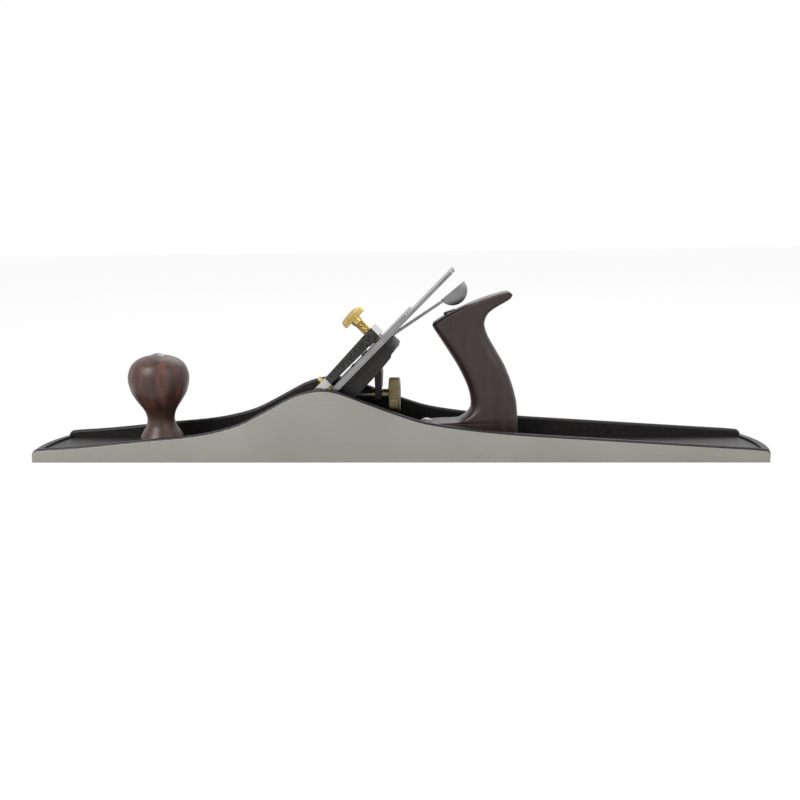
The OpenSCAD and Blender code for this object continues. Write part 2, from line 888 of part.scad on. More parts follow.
module thumb_screw() {
    rim0 = 27.5;
    rim1 = 31.8;
    dome_h = 2.7;
    r = thumb_d / 2;
    dome_r = (r * r + dome_h * dome_h) / (2 * dome_h);
    color([0.8, 0.66, 0.36])
        on_bed()
            translate([thumb_s, 0, 0]) {
                bar_z(4.5, 7, 6);
                bar_z(6.5, 24.5, 8);
                bar_z(24, rim0 + 1, 8.6);
                bar_z(rim0, rim1, thumb_d);
                intersection() {
                    translate([0, 0, rim1 + dome_h - dome_r])
                        sphere(r = dome_r, $fn = 96);
                    bar_z(rim1 - 0.5, rim1 + 6, thumb_d);
                }
            }
}

plane_body();
front_knob();
knob_bolt();
knob_nut();
tote();
tote_bolt();
tote_nut();
tote_toe_screw();
frog();
frog_screws();
frog_washers();
frog_adjust_screw();
frog_clip();
frog_clip_screw();
yoke();
yoke_pin();
depth_stud();
depth_nut();
lateral_lever();
lateral_rivet();
lateral_roller();
roller_rivet();
blade();
cap_iron();
cap_iron_screw();
lever_cap();
lever_cap_screw();
thumb_screw();
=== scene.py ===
"""Jointer plane: the finishes, the finer turned and carved pieces, and the studio around it.

Lengths in the classes are millimetres, and every mesh is made in metres in the frame of the body:
X from the toe to the heel, Y across, Z up. Pieces of the cutter are placed on the bed, where X runs
up the bed and Z stands off it.
"""

import json
import logging
import math
from dataclasses import dataclass
from enum import Enum
from typing import Sequence

import bmesh
import bpy
from mathutils import Matrix, Vector

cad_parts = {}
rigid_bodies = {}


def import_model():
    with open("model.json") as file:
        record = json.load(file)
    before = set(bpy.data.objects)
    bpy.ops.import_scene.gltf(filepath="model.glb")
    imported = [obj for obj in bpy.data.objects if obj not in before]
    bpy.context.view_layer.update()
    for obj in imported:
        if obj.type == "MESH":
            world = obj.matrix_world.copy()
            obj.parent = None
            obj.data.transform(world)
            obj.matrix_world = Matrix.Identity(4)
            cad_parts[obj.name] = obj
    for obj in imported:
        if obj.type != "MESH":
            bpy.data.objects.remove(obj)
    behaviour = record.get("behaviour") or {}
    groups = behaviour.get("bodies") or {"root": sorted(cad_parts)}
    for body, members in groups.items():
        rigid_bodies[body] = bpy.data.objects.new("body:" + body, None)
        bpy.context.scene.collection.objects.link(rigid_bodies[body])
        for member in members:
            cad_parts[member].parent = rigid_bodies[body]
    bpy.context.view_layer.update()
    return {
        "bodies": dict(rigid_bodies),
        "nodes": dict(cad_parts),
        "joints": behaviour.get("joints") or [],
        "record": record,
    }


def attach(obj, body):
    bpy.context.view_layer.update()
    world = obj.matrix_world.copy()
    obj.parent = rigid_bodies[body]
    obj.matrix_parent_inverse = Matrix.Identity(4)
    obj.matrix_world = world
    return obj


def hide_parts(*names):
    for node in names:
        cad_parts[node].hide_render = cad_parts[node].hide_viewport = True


LOG = logging.getLogger("jointer_plane")
MM = 0.001
BED_X = -92.9
BED_ANGLE = 45.0
SHARP_DEGREES = 35.0
Tree = bpy.types.NodeTree
Node = bpy.types.Node
Socket = bpy.types.NodeSocket
Material = bpy.types.Material


def linear(hex_colour: str) -> tuple[float, float, float, float]:
    """Turns an sRGB hex colour to a linear one.

    Args:
        hex_colour: The colour as written in a paint chart, such as "#989791".

    Returns:
        Red, green, blue and an alpha of 1.
    """
    parts = [int(hex_colour[i : i + 2], 16) / 255 for i in (1, 3, 5)]
    turned = [c / 12.92 if c <= 0.04045 else ((c + 0.055) / 1.055) ** 2.4 for c in parts]
    return (turned[0], turned[1], turned[2], 1.0)


def on_bed() -> Matrix:
    """Gives the matrix that stands a piece on the bed of the frog, from millimetres to metres.

    Returns:
        The matrix.
    """
    place = Matrix.Translation((BED_X * MM, 0, 0))
    return place @ Matrix.Rotation(math.radians(-BED_ANGLE), 4, "Y") @ Matrix.Scale(MM, 4)


def add_node(tree: Tree, kind: str, settings: dict | None = None, links: dict | None = None) -> Node:
    """Adds one node with its settings and its incoming links.

    Args:
        tree: The node tree.
        kind: The node's type name.
        settings: Attributes by name, and values of input sockets by index or name.
        links: Output sockets by the input that each goes to.

    Returns:
        The new node.
    """
    node = tree.nodes.new(kind)
    for key, value in (settings or {}).items():
        if isinstance(key, str) and hasattr(node, key):
            setattr(node, key, value)
        else:
            node.inputs[key].default_value = value
    for key, source in (links or {}).items():
        tree.links.new(source, node.inputs[key])
    return node


class Grain(Enum):
    """Ways in which a pattern runs over a surface, as its stretch along X, Y and Z."""

    EVEN = (1.0, 1.0, 1.0)
    ALONG_X = (0.02, 1.0, 1.0)
    ALONG_Z = (1.0, 1.0, 0.04)


@dataclass(frozen=True)
class Finish:
    """What all finishes share: a name, a shader and patterns sized in millimetres."""

    name: str

    def start(self) -> tuple[Material, Tree, Node]:
        """Makes an empty material with one principled shader.

        Returns:
            The material, its tree and its shader.
        """
        material = bpy.data.materials.new(self.name)
        material.use_nodes = True
        tree = material.node_tree
        tree.nodes.clear()
        shader = add_node(tree, "ShaderNodeBsdfPrincipled")
        add_node(tree, "ShaderNodeOutputMaterial", links={0: shader.outputs[0]})
        return material, tree, shader

    def pattern(self, tree: Tree, size_mm: float, grain: Grain = Grain.EVEN, detail: float = 3.0) -> Socket:
        """Adds noise whose features are about size_mm wide.

        Args:
            tree: The material's tree.
            size_mm: Size of one feature of the pattern.
            grain: The way the pattern runs.
            detail: How many finer layers it has.

        Returns:
            The output socket with values around 0.5.
        """
        place = add_node(tree, "ShaderNodeTexCoord")
        stretch = add_node(
            tree,
            "ShaderNodeMapping",
            {"Scale": tuple(k / (size_mm * MM) for k in grain.value)},
            {0: place.outputs["Object"]},
        )
        settings = {"Scale": 1.0, "Detail": detail}
        noise = add_node(tree, "ShaderNodeTexNoise", settings, {"Vector": stretch.outputs[0]})
        return noise.outputs["Fac"]

    def ramp(self, tree: Tree, source: Socket, stops: Sequence[tuple[float, str]]) -> Socket:
        """Colours a value by stops of position and hex colour, and gives the colour socket.

        Args:
            tree: Node tree of the material.
            source: Socket with the value.
            stops: Pairs of position and hex colour.

        Returns:
            The colour socket.
        """
        node = add_node(tree, "ShaderNodeValToRGB", links={0: source})
        band = node.color_ramp
        while len(band.elements) < len(stops):
            band.elements.new(0.5)
        for element, (place, colour) in zip(band.elements, stops):
            element.position = place
            element.color = linear(colour)
        return node.outputs[0]

    def span(
        self, tree: Tree, source: Socket, low: float, high: float, start: float = 0.3, end: float = 0.7
    ) -> Socket:
        """Maps a value from start and end to low and high, and gives the value socket.

        Args:
            tree: Node tree of the material.
            source: Socket with the value.
            low: Result at start.
            high: Result at end.
            start: Value that gives low.
            end: Value that gives high.

        Returns:
            The socket with the mapped value.
        """
        settings = {"From Min": start, "From Max": end, "To Min": low, "To Max": high}
        return add_node(tree, "ShaderNodeMapRange", settings, {"Value": source}).outputs[0]

    def mix(self, tree: Tree, factor: Socket | float, first: Socket | tuple, second: Socket | tuple) -> Socket:
        """Mixes two colours by a factor, and gives the colour socket.

        Args:
            tree: Node tree of the material.
            factor: Share of the second colour, 0 to 1.
            first: Colour at 0.
            second: Colour at 1.

        Returns:
            The colour socket.
        """
        node = add_node(tree, "ShaderNodeMix", {"data_type": "RGBA"})
        for key, value in (("Factor_Float", factor), ("A_Color", first), ("B_Color", second)):
            socket = next(s for s in node.inputs if s.identifier == key)
            if isinstance(value, (int, float, tuple)):
                socket.default_value = value
            else:
                tree.links.new(value, socket)
        return next(s for s in node.outputs if s.identifier == "Result_Color")

    def bump(self, tree: Tree, shader: Node, height: Socket, depth_mm: float) -> None:
        """Raises the surface by depth_mm where height is 1.

        Args:
            tree: Node tree of the material.
            shader: Principled shader node.
            height: Socket with the height, 0 to 1.
            depth_mm: Height of the relief.
        """
        settings = {"Distance": depth_mm * MM, "Strength": 1.0}
        node = add_node(tree, "ShaderNodeBump", settings, {"Height": height})
        tree.links.new(node.outputs[0], shader.inputs["Normal"])

    def edge(self, tree: Tree, radius_mm: float) -> Socket:
        """Gives a value that is 1 at sharp edges within radius_mm, and 0 on the flats.

        Args:
            tree: Node tree of the material.
            radius_mm: Reach of the rounding from the edge.

        Returns:
            The socket with the value.
        """
        rounded = add_node(tree, "ShaderNodeBevel", {"samples": 6, "Radius": radius_mm * MM})
        flat = add_node(tree, "ShaderNodeNewGeometry")
        dot = add_node(
            tree,
            "ShaderNodeVectorMath",
            {"operation": "DOT_PRODUCT"},
            {0: rounded.outputs[0], 1: flat.outputs["Normal"]},
        )
        return self.span(tree, dot.outputs["Value"], 1.0, 0.0, 0.8, 0.99)


@dataclass(frozen=True)
class Metal(Finish):
    """Bare metal, machined: a metallic base with fine tool marks, and a painted highlight that brightens its
    sharp edges.
    """

    colour: str = "#8f8f90"
    dark: str = "#7c7c7d"
    # bright is the colour of the painted highlight on the sharp edges
    bright: str = "#c9c9c9"
    rough: float = 0.35
    marks_mm: float = 0.5
    marks_depth_mm: float = 0.004
    grain: Grain = Grain.EVEN
    # edge_mm is the reach of the painted edge highlight
    edge_mm: float = 0.35

    def material(self) -> Material:
        """Makes the material.

        Returns:
            The finished material.
        """
        material, tree, shader = self.start()
        marks = self.pattern(tree, self.marks_mm, self.grain)
        cloud = self.pattern(tree, 14.0)
        base = self.ramp(tree, cloud, [(0.35, self.dark), (0.65, self.colour)])
        # Painted highlight: the colour is lightened towards bright along the sharp edges
        edge_highlight = self.mix(tree, self.edge(tree, self.edge_mm), base, linear(self.bright))
        tree.links.new(edge_highlight, shader.inputs["Base Color"])
        shader.inputs["Metallic"].default_value = 1.0
        rough = self.span(tree, marks, self.rough - 0.06, self.rough + 0.08)
        tree.links.new(rough, shader.inputs["Roughness"])
        self.bump(tree, shader, marks, self.marks_depth_mm)
        return material


@dataclass(frozen=True)
class Enamel(Finish):
    """Black stoving enamel brushed over rough cast iron: glossy, a little orange-peeled, with a painted
    highlight on its sharp edges.
    """

    colour: str = "#121010"
    pale: str = "#201d1c"
    # Colour of the painted highlight on the sharp edges
    edge_highlight: str = "#35312f"
    # Reach of the painted edge highlight
    edge_mm: float = 0.5
    rough: float = 0.42
    casting_mm: float = 1.6
    casting_depth_mm: float = 0.05

    def material(self) -> Material:
        """Makes the material.

        Returns:
            The finished material.
        """
        material, tree, shader = self.start()
        cast = self.pattern(tree, self.casting_mm, detail=4.0)
        base = self.ramp(tree, cast, [(0.35, self.colour), (0.7, self.pale)])
        # Painted highlight: the sharp edges are lightened towards the highlight colour
        edge_highlight = self.mix(tree, self.edge(tree, self.edge_mm), base, linear(self.edge_highlight))
        tree.links.new(edge_highlight, shader.inputs["Base Color"])
        tree.links.new(self.span(tree, cast, self.rough - 0.08, self.rough + 0.1), shader.inputs["Roughness"])
        shader.inputs["IOR"].default_value = 1.5
        shader.inputs["Specular IOR Level"].default_value = 0.3
        self.bump(tree, shader, cast, self.casting_depth_mm)
        return material


@dataclass(frozen=True)
class BodyFinish(Finish):
    """Grey cast iron, ground on the sides, sole and ends, and enamelled black everywhere inside."""

    side_mm: float = 36.44
    end_centre_mm: float = 180.8
    end_radius_mm: float = 98.45
    ground: str = "#979690"
    ground_dark: str = "#918f88"
    enamel: str = "#131111"
    enamel_pale: str = "#211e1d"

    def mask(self, tree: Tree) -> Socket:
        """Gives 1 on ground faces: past the side planes, under the sole and round the ends.

        Args:
            tree: Node tree of the material.

        Returns:
            The socket with the mask.
        """
        place = add_node(tree, "ShaderNodeTexCoord").outputs["Object"]
        size = add_node(tree, "ShaderNodeVectorMath", {"operation": "ABSOLUTE"}, {0: place}).outputs[0]
        axes = add_node(tree, "ShaderNodeSeparateXYZ", links={0: size})
        side = self.above(tree, axes.outputs["Y"], self.side_mm)
        centre = (self.end_centre_mm * MM, 0, 0)
        shifted = add_node(tree, "ShaderNodeVectorMath", {"operation": "SUBTRACT", 1: centre}, {0: size})
        flat = add_node(
            tree, "ShaderNodeVectorMath", {"operation": "MULTIPLY", 1: (1, 1, 0)}, {0: shifted.outputs[0]}
        )
        reach = add_node(tree, "ShaderNodeVectorMath", {"operation": "LENGTH"}, {0: flat.outputs[0]})
        end = self.above(tree, reach.outputs["Value"], self.end_radius_mm)
        past = self.above(tree, axes.outputs["X"], self.end_centre_mm + 60)
        ends = add_node(tree, "ShaderNodeMath", {"operation": "MULTIPLY"}, {0: end, 1: past}).outputs[0]
        low = self.above(tree, axes.outputs["Z"], 0.05)
        sole = add_node(tree, "ShaderNodeMath", {"operation": "SUBTRACT", 0: 1.0}, {1: low}).outputs[0]
        both = add_node(tree, "ShaderNodeMath", {"operation": "MAXIMUM"}, {0: side, 1: ends}).outputs[0]
        return add_node(tree, "ShaderNodeMath", {"operation": "MAXIMUM"}, {0: both, 1: sole}).outputs[0]

    def above(self, tree: Tree, value: Socket, limit_mm: float) -> Socket:
        """Gives 1 where a length is above limit_mm.

        Args:
            tree: Node tree of the material.
            value: Socket with the value.
            limit_mm: Limit in millimetres.

        Returns:
            The socket with 0 or 1.
        """
        return add_node(
            tree, "ShaderNodeMath", {"operation": "GREATER_THAN", 1: limit_mm * MM}, {0: value}
        ).outputs[0]

    def material(self) -> Material:
        """Makes the material.

        Returns:
            The finished material.
        """
        material, tree, shader = self.start()
        ground = self.mask(tree)
        # Grinding leaves lines of about 0.3 mm along the plane; 0.6 mm is the finest that shows here
        lines = self.pattern(tree, 0.6, Grain.ALONG_X, 2.0)
        blotch = self.pattern(tree, 60.0)
        cast = self.pattern(tree, 1.8, detail=4.0)
        metal = self.ramp(tree, blotch, [(0.35, self.ground_dark), (0.65, self.ground)])
        paint = self.ramp(tree, cast, [(0.35, self.enamel), (0.7, self.enamel_pale)])
        tree.links.new(self.mix(tree, ground, paint, metal), shader.inputs["Base Color"])
        tree.links.new(ground, shader.inputs["Metallic"])
        rough_metal = self.span(tree, lines, 0.42, 0.52)
        rough_paint = self.span(tree, cast, 0.34, 0.5)
        sockets = {0: ground, 2: rough_paint, 3: rough_metal}
        rough = add_node(tree, "ShaderNodeMix", {"data_type": "FLOAT"}, sockets)
        tree.links.new(rough.outputs[0], shader.inputs["Roughness"])
        shader.inputs["Specular IOR Level"].default_value = 0.3
        grit = add_node(tree, "ShaderNodeMath", {"operation": "MULTIPLY", 1: 0.06}, {0: lines}).outputs[0]
        height = add_node(tree, "ShaderNodeMix", {"data_type": "FLOAT"}, {0: ground, 2: cast, 3: grit})
        self.bump(tree, shader, height.outputs[0], 0.07)
        return material


@dataclass(frozen=True)
class CapFinish(Finish):
    """Lever cap: black enamel on the cast sides, bright ground front, nose and top end."""

    bright: str = "#c4c4c2"
    bright_dark: str = "#a9a9a8"
    enamel: str = "#131212"
    chip: str = "#55534f"
    nose_mm: float = 74.0
    end_mm: float = 123.3
    front_cosine: float = 0.6

    def compare(self, tree: Tree, how: str, value: Socket, limit: float) -> Socket:
        """Gives 1 where a value is past a limit, and 0 elsewhere.

        Args:
            tree: Node tree of the material.
            how: Name of the comparison.
            value: Socket with the value.
            limit: Limit in the unit of the value.

        Returns:
            The socket with 0 or 1.
        """
        return add_node(tree, "ShaderNodeMath", {"operation": how, 1: limit}, {0: value}).outputs[0]

    def along(self, tree: Tree, vector: Socket, direction: tuple[float, float, float]) -> Socket:
        """Gives the length of a vector along a direction.

        Args:
            tree: Node tree of the material.
            vector: Socket with the vector.
            direction: Unit vector to measure along.

        Returns:
            The socket with the length.
        """
        node = add_node(tree, "ShaderNodeVectorMath", {"operation": "DOT_PRODUCT", 1: direction}, {0: vector})
        return node.outputs["Value"]

    def material(self) -> Material:
        """Makes the material.

        Returns:
            The finished material.
        """
        material, tree, shader = self.start()
        half = math.sqrt(0.5)
        place = add_node(tree, "ShaderNodeTexCoord").outputs["Object"]
        foot = {"operation": "SUBTRACT", 1: (BED_X * MM, 0, 0)}
        moved = add_node(tree, "ShaderNodeVectorMath", foot, {0: place}).outputs[0]
        up_bed = self.along(tree, moved, (half, 0, half))
        normal = add_node(tree, "ShaderNodeNewGeometry").outputs["Normal"]
        facing = self.along(tree, normal, (-half, 0, half))
        nose = self.compare(tree, "LESS_THAN", up_bed, self.nose_mm * MM)
        end = self.compare(tree, "GREATER_THAN", up_bed, self.end_mm * MM)
        front = self.compare(tree, "GREATER_THAN", facing, self.front_cosine)
        ends = add_node(tree, "ShaderNodeMath", {"operation": "MAXIMUM"}, {0: nose, 1: end}).outputs[0]
        bare = add_node(tree, "ShaderNodeMath", {"operation": "MAXIMUM"}, {0: ends, 1: front}).outputs[0]
        # Pinholes in the paint over the sand-cast side are about 0.7 mm wide
        pits = self.pattern(tree, 0.9, detail=3.0)
        paint = self.ramp(tree, pits, [(0.5, self.enamel), (0.68, self.chip)])
        metal = self.ramp(tree, self.pattern(tree, 9.0), [(0.35, self.bright_dark), (0.65, self.bright)])
        tree.links.new(self.mix(tree, bare, paint, metal), shader.inputs["Base Color"])
        tree.links.new(bare, shader.inputs["Metallic"])
        rough = add_node(tree, "ShaderNodeMix", {"data_type": "FLOAT", 2: 0.42, 3: 0.2}, {0: bare})
        shader.inputs["Specular IOR Level"].default_value = 0.3
        tree.links.new(rough.outputs[0], shader.inputs["Roughness"])
        depth = add_node(tree, "ShaderNodeMath", {"operation": "SUBTRACT", 0: 1.02}, {1: bare}).outputs[0]
        height = add_node(tree, "ShaderNodeMath", {"operation": "MULTIPLY"}, {0: depth, 1: pits}).outputs[0]
        self.bump(tree, shader, height, 0.09)
        return material


@dataclass(frozen=True)
class Wood(Finish):
    """Tropical hardwood, stained dark and varnished: long pores along the grain under a satin coat."""

    dark: str = "#281b18"
    middle: str = "#452d26"
    warm: str = "#74483a"
    grain: Grain = Grain.ALONG_Z
    rough: float = 0.36

    def material(self) -> Material:
        """Makes the material.

        Returns:
            The finished material.
        """
        material, tree, shader = self.start()
        # Pores are about 0.25 mm wide; 0.7 mm is the finest that shows here
        pores = self.pattern(tree, 0.7, self.grain, 2.0)
        bands = self.pattern(tree, 7.0, self.grain, 3.0)
        broad = self.ramp(tree, bands, [(0.3, self.dark), (0.55, self.middle), (0.75, self.warm)])
        fine = self.ramp(tree, pores, [(0.38, self.dark), (0.52, self.middle)])
        tree.links.new(self.mix(tree, 0.35, broad, fine), shader.inputs["Base Color"])
        rough = self.span(tree, pores, self.rough + 0.1, self.rough - 0.04)
        tree.links.new(rough, shader.inputs["Roughness"])
        shader.inputs["Specular IOR Level"].default_value = 0.35
        shader.inputs["Coat Weight"].default_value = 0.12
        shader.inputs["Coat Roughness"].default_value = 0.3
        self.bump(tree, shader, pores, 0.02)
        return material


@dataclass
class Turned:
    """A turned piece: rows of height and radius along its axis, with knurled and threaded bands."""

    name: str
    node: str
    body: str
    slot: str
    rows: Sequence[tuple[float, float]]
    place: Matrix
    knurl: tuple[float, float, int, float] | None = None
    thread: tuple[float, float, float, float] | None = None
    segments: int = 96
    step: float = 0.15
    soften: float = 0.25

    def heights(self) -> list[tuple[float, float]]:
        """Fills the rows in, so that knurls and threads have enough of them.

        Returns:
            Rows of height and radius in millimetres.
        """
        filled = [self.rows[0]]
        for (z0, r0), (z1, r1) in zip(self.rows, self.rows[1:]):
            count = max(1, math.ceil(math.hypot(z1 - z0, r1 - r0) / 1.5))
            if self.banded((z0 + z1) / 2):
                count = max(count, math.ceil(abs(z1 - z0) / self.step))
            filled += [(z0 + (z1 - z0) * k / count, r0 + (r1 - r0) * k / count) for k in range(1, count + 1)]
        return filled

    def banded(self, z: float) -> bool:
        """Says whether a height lies in the knurled or the threaded band.

        Args:
            z: Height along the axis in millimetres.

        Returns:
            True inside the band.
        """
        bands = [b for b in (self.knurl, self.thread) if b]
        return any(b[0] <= z <= b[1] for b in bands)

    def radius(self, z: float, r: float, angle: float) -> float:
        """Cuts the knurl and the thread into the radius at one point.

        Args:
            z: Height along the axis in millimetres.
            r: Radius in millimetres.
            angle: Angle round the axis in radians.

        Returns:
            The cut radius in millimetres.
        """
        if self.knurl and self.knurl[0] <= z <= self.knurl[1] and r > 5:
            wave = 0.5 + 0.5 * math.cos(self.knurl[2] * angle)
            r -= self.knurl[3] * wave**2
        if self.thread and self.thread[0] < z < self.thread[1]:
            turn = (z / self.thread[2] - angle / (2 * math.pi)) % 1.0
            r -= self.thread[3] * (1 - abs(2 * turn - 1))
        return r

    def build(self, material: Material) -> bpy.types.Object:
        """Makes the mesh and puts it in the place of its node.

        Args:
            material: The finish of the piece.

        Returns:
            The new object.
        """
        rows = self.heights()
        count = self.segments
        mesh = bmesh.new()
        rings = []
        for z, r in rows:
            if r < 1e-6:
                rings.append([mesh.verts.new((0, 0, z))])
                continue
            ring = []
            for k in range(count):
                a = 2 * math.pi * k / count
                cut = self.radius(z, r, a)
                ring.append(mesh.verts.new((cut * math.cos(a), cut * math.sin(a), z)))
            rings.append(ring)
        for low, high in zip(rings, rings[1:]):
            for k in range(count):
                n = (k + 1) % count
                if len(low) == 1:
                    mesh.faces.new((low[0], high[n], high[k]))
                elif len(high) == 1:
                    mesh.faces.new((low[k], low[n], high[0]))
                else:
                    mesh.faces.new((low[k], low[n], high[n], high[k]))
        piece = to_object(self.name, mesh, self.place, material)
        return stand_for(piece, self.node, self.body)


def shade(mesh: bmesh.types.BMesh, data: bpy.types.Mesh) -> None:
    """Writes a bmesh to a mesh, smooth but for its sharp edges, and frees it.

    Args:
        mesh: Mesh to write.
        data: Mesh data that it is written to.
    """
    for edge in mesh.edges:
        edge.smooth = len(edge.link_faces) == 2 and edge.calc_face_angle(0.0) < math.radians(SHARP_DEGREES)
    for face in mesh.faces:
        face.smooth = True
    mesh.to_mesh(data)
    mesh.free()


def to_object(name: str, mesh: bmesh.types.BMesh, place: Matrix, material: Material) -> bpy.types.Object:
    """Turns a bmesh into a linked object, smooth but for its sharp edges.

    Args:
        name: Name of the piece.
        mesh: Mesh to write.
        place: Matrix from millimetres to the frame.
        material: Finish of the piece.

    Returns:
        The linked object.
    """
    bmesh.ops.recalc_face_normals(mesh, faces=mesh.faces)
    mesh.transform(place)
    data = bpy.data.meshes.new(name)
    shade(mesh, data)
    piece = bpy.data.objects.new(name, data)
    bpy.context.scene.collection.objects.link(piece)
    data.materials.append(material)
    return piece


def stand_for(piece: bpy.types.Object, node: str, body: str) -> bpy.types.Object:
    """Makes a piece ride on a body in the place of a node.

    Args:
        piece: Piece to work on.
        node: Node that it stands for.
        body: Body that it rides on.

    Returns:
        The piece that stands in.
    """
    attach(piece, body)
    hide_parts(node)
    LOG.info("%s stands for %s on %s", piece.name, node, body)
    return piece


def smooth_through(rows: Sequence[Sequence[float]], steps: int) -> list[list[float]]:
    """Runs a smooth curve through rows of numbers.

    Args:
        rows: The rows to pass through.
        steps: How many pieces each stretch is cut into.

    Returns:
        The rows of the curve, the given ones among them.
    """
    made = []
    for i in range(len(rows) - 1):
        a, b, c, d = (rows[min(max(i + k, 0), len(rows) - 1)] for k in (-1, 0, 1, 2))
        for k in range(steps):
            t = k / steps
            weights = (
                (-t + 2 * t * t - t**3) / 2,
                (2 - 5 * t * t + 3 * t**3) / 2,
                (t + 4 * t * t - 3 * t**3) / 2,
                (t**3 - t * t) / 2,
            )
            made.append([sum(w * v for w, v in zip(weights, values)) for values in zip(a, b, c, d)])
    return made + [list(rows[-1])]


@dataclass
class Knob:
    """Turned front knob with its nut."""

    x: float = -183.65
    top: float = 76.1
    side: Sequence[tuple[float, float]] = (
        (9.4, 15.6), (12.2, 16.5), (16, 14.6), (21, 11.6), (27, 10.45), (33.5, 12.2), (40.5, 16.8),
        (48, 21.0), (58.5, 23.2), (67.5, 21.0), (72.9, 16.0), (75.5, 10.0), (76.1, 6.5),
    )

    def build(self, wood: Material) -> None:
        """Turns the knob finer than its solid, with the sunk seat of the nut.

        Args:
            wood: Finish of the wood.
        """
        rows = [tuple(r) for r in smooth_through(self.side, 8)]
        bore = [(self.top, 5.4), (74.9, 5.4), (74.9, 4.1), (62.0, 4.1), (62.0, 3.2), (9.4, 3.2)]
        rows = [(9.4, 3.2)] + rows + bore
        place = Matrix.Translation((self.x * MM, 0, 0)) @ Matrix.Scale(MM, 4)
        Turned("turned_knob", "front_knob", "root", "dark_wood", rows, place, segments=128).build(wood)


@dataclass
class Tote:
    """Carved handle, drawn through the same sections as its solid, but finer."""

    thickness: float = 24.0
    toe_screw_x: float = 24.0
    bolt_foot: tuple[float, float] = (74.4, 9.0)
    bolt_lean: float = 17.8
    nut_up: float = 104.6
    sections: Sequence[tuple[float, float, float, float, float]] = (
        (15.2, 9, 93.3, 9, 2), (14.6, 15, 93.5, 15, 3), (17, 21, 93.5, 20, 4), (24, 23.8, 93.5, 24, 5),
        (44.3, 24.7, 93.4, 27.5, 6), (52, 28.2, 93.2, 31.5, 8), (56.6, 33, 93, 35.5, 9.5),
        (58, 38, 92.6, 39.5, 10.5), (56.8, 47, 90.9, 47, 10.5), (53.7, 55.7, 87.9, 56.5, 10.5),
        (48.3, 66.7, 83.1, 68, 10.5), (42.1, 76.9, 76.8, 79, 10.5), (35.2, 87.8, 70.8, 89.8, 9),
        (30.5, 95.3, 68.3, 97.5, 7), (29.3, 99, 68.6, 102, 5.5), (33, 102, 70.5, 106, 5.5),
        (42, 107.2, 74, 109.4, 5), (54, 112.9, 79, 112.6, 4.5), (66, 117.6, 83.6, 115.2, 4),
        (77, 121, 86.8, 117.4, 3), (84, 122.6, 88.2, 119.4, 2), (86.8, 122.5, 88.6, 120.6, 1.2),
    )

    def ring(self, section: Sequence[float]) -> list[Vector]:
        """Gives the points round one section, a rectangle with round corners.

        Args:
            section: Sizes of one section of the tote.

        Returns:
            The points of the section.
        """
        fx, fz, bx, bz, r = section
        front, back = Vector((fx, 0, fz)), Vector((bx, 0, bz))
        half = (back - front).length / 2
        along = (back - front).normalized()
        middle = (front + back) / 2
        points = []
        for quarter, (sa, sy) in enumerate(((1, 1), (-1, 1), (-1, -1), (1, -1))):
            for k in range(7):
                angle = math.radians(90 * quarter + 15 * k)
                u = sa * (half - r) + r * math.cos(angle)
                y = sy * (self.thickness / 2 - r) + r * math.sin(angle)
                points.append(middle + along * u + Vector((0, y, 0)))
        return points

    def build(self, wood: Material) -> None:
        """Makes the tote and bores it for its nut and its toe screw.

        Args:
            wood: Finish of the wood.
        """
        mesh = bmesh.new()
        rings = [[mesh.verts.new(p) for p in self.ring(s)] for s in smooth_through(self.sections, 5)]
        for low, high in zip(rings, rings[1:]):
            for k in range(len(low)):
                n = (k + 1) % len(low)
                mesh.faces.new((low[k], low[n], high[n], high[k]))
        mesh.faces.new(rings[0])
        mesh.faces.new(rings[-1])
        piece = to_object("carved_tote", mesh, Matrix.Scale(MM, 4), wood)
        lean = Matrix.Translation((self.bolt_foot[0] * MM, 0, self.bolt_foot[1] * MM))
        lean = lean @ Matrix.Rotation(math.radians(-self.bolt_lean), 4, "Y") @ Matrix.Scale(MM, 4)
        toe = Matrix.Translation((self.toe_screw_x * MM, 0, 0)) @ Matrix.Scale(MM, 4)
        bores = (
            (lean, 5.6, self.nut_up - 2.6, self.nut_up + 10),
            (lean, 3.7, self.nut_up - 16, self.nut_up),
            (toe, 5.3, 23.0, 40.0),
            (toe, 2.4, 0.0, 30.0),
        )
        for place, r, z0, z1 in bores:
            self.bore(piece, place, r, z0, z1)
        stand_for(piece, "tote", "root")

    def bore(self, piece: bpy.types.Object, place: Matrix, r: float, z0: float, z1: float) -> None:
        """Bores one round hole from z0 to z1 along the axis of a place.

        Args:
            piece: Piece to work on.
            place: Matrix from millimetres to the frame.
            r: Radius in millimetres.
            z0: Start of the hole in millimetres.
            z1: End of the hole in millimetres.
        """
        drill = bmesh.new()
        bmesh.ops.create_cone(drill, cap_ends=True, segments=96, radius1=r, radius2=r, depth=z1 - z0)
        drill.transform(Matrix.Translation((0, 0, (z0 + z1) / 2)))
        cutter = to_object("drill", drill, place, piece.data.materials[0])
        cut = piece.modifiers.new("bore", "BOOLEAN")
        cut.operation = "DIFFERENCE"
        cut.object = cutter
        apply_modifiers(piece)
        bpy.data.objects.remove(cutter)


def apply_modifiers(piece: bpy.types.Object) -> None:
    """Bakes a piece's modifiers into its mesh.

    Args:
        piece: Piece to work on.
    """
    graph = bpy.context.evaluated_depsgraph_get()
    made = bpy.data.meshes.new_from_object(piece.evaluated_get(graph))
    piece.modifiers.clear()
    piece.data = made
    mesh = bmesh.new()
    mesh.from_mesh(made)
    shade(mesh, made)


